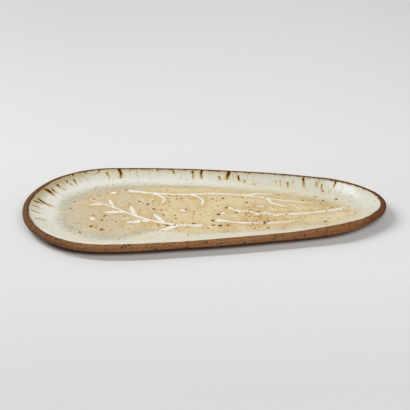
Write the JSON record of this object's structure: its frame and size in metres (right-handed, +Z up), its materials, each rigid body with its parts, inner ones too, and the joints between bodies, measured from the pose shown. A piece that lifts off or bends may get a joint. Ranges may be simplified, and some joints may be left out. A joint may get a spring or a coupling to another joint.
{
  "type": "serving platter",
  "caption": "Egg-shaped stoneware serving platter with an upturned rim, a bare clay lip, a pale glaze lining and white plant marks pressed in its floor.",
  "frame": {"origin": "on the table, under the middle of the platter's box", "axes": "+X along the length, from the broad end to the narrow tip; +Y across it; +Z up"},
  "size_m": [0.38, 0.178, 0.0135],
  "materials": {
    "clay": "bare fired clay, sandy and matte",
    "glaze": "satin",
    "white_glaze": "satin"
  },
  "bodies": {
    "root": {"stoneware_body": "clay", "glaze_lining": "glaze", "leafy_sprig_inlay": "white_glaze", "grass_sprig_inlay": "white_glaze", "vine_inlay": "white_glaze", "grass_blade_inlay": "white_glaze", "seed_inlay_1": "white_glaze", "seed_inlay_2": "white_glaze", "seed_inlay_3": "white_glaze", "seed_inlay_4": "white_glaze", "seed_inlay_5": "white_glaze"}
  },
  "joints": []
}
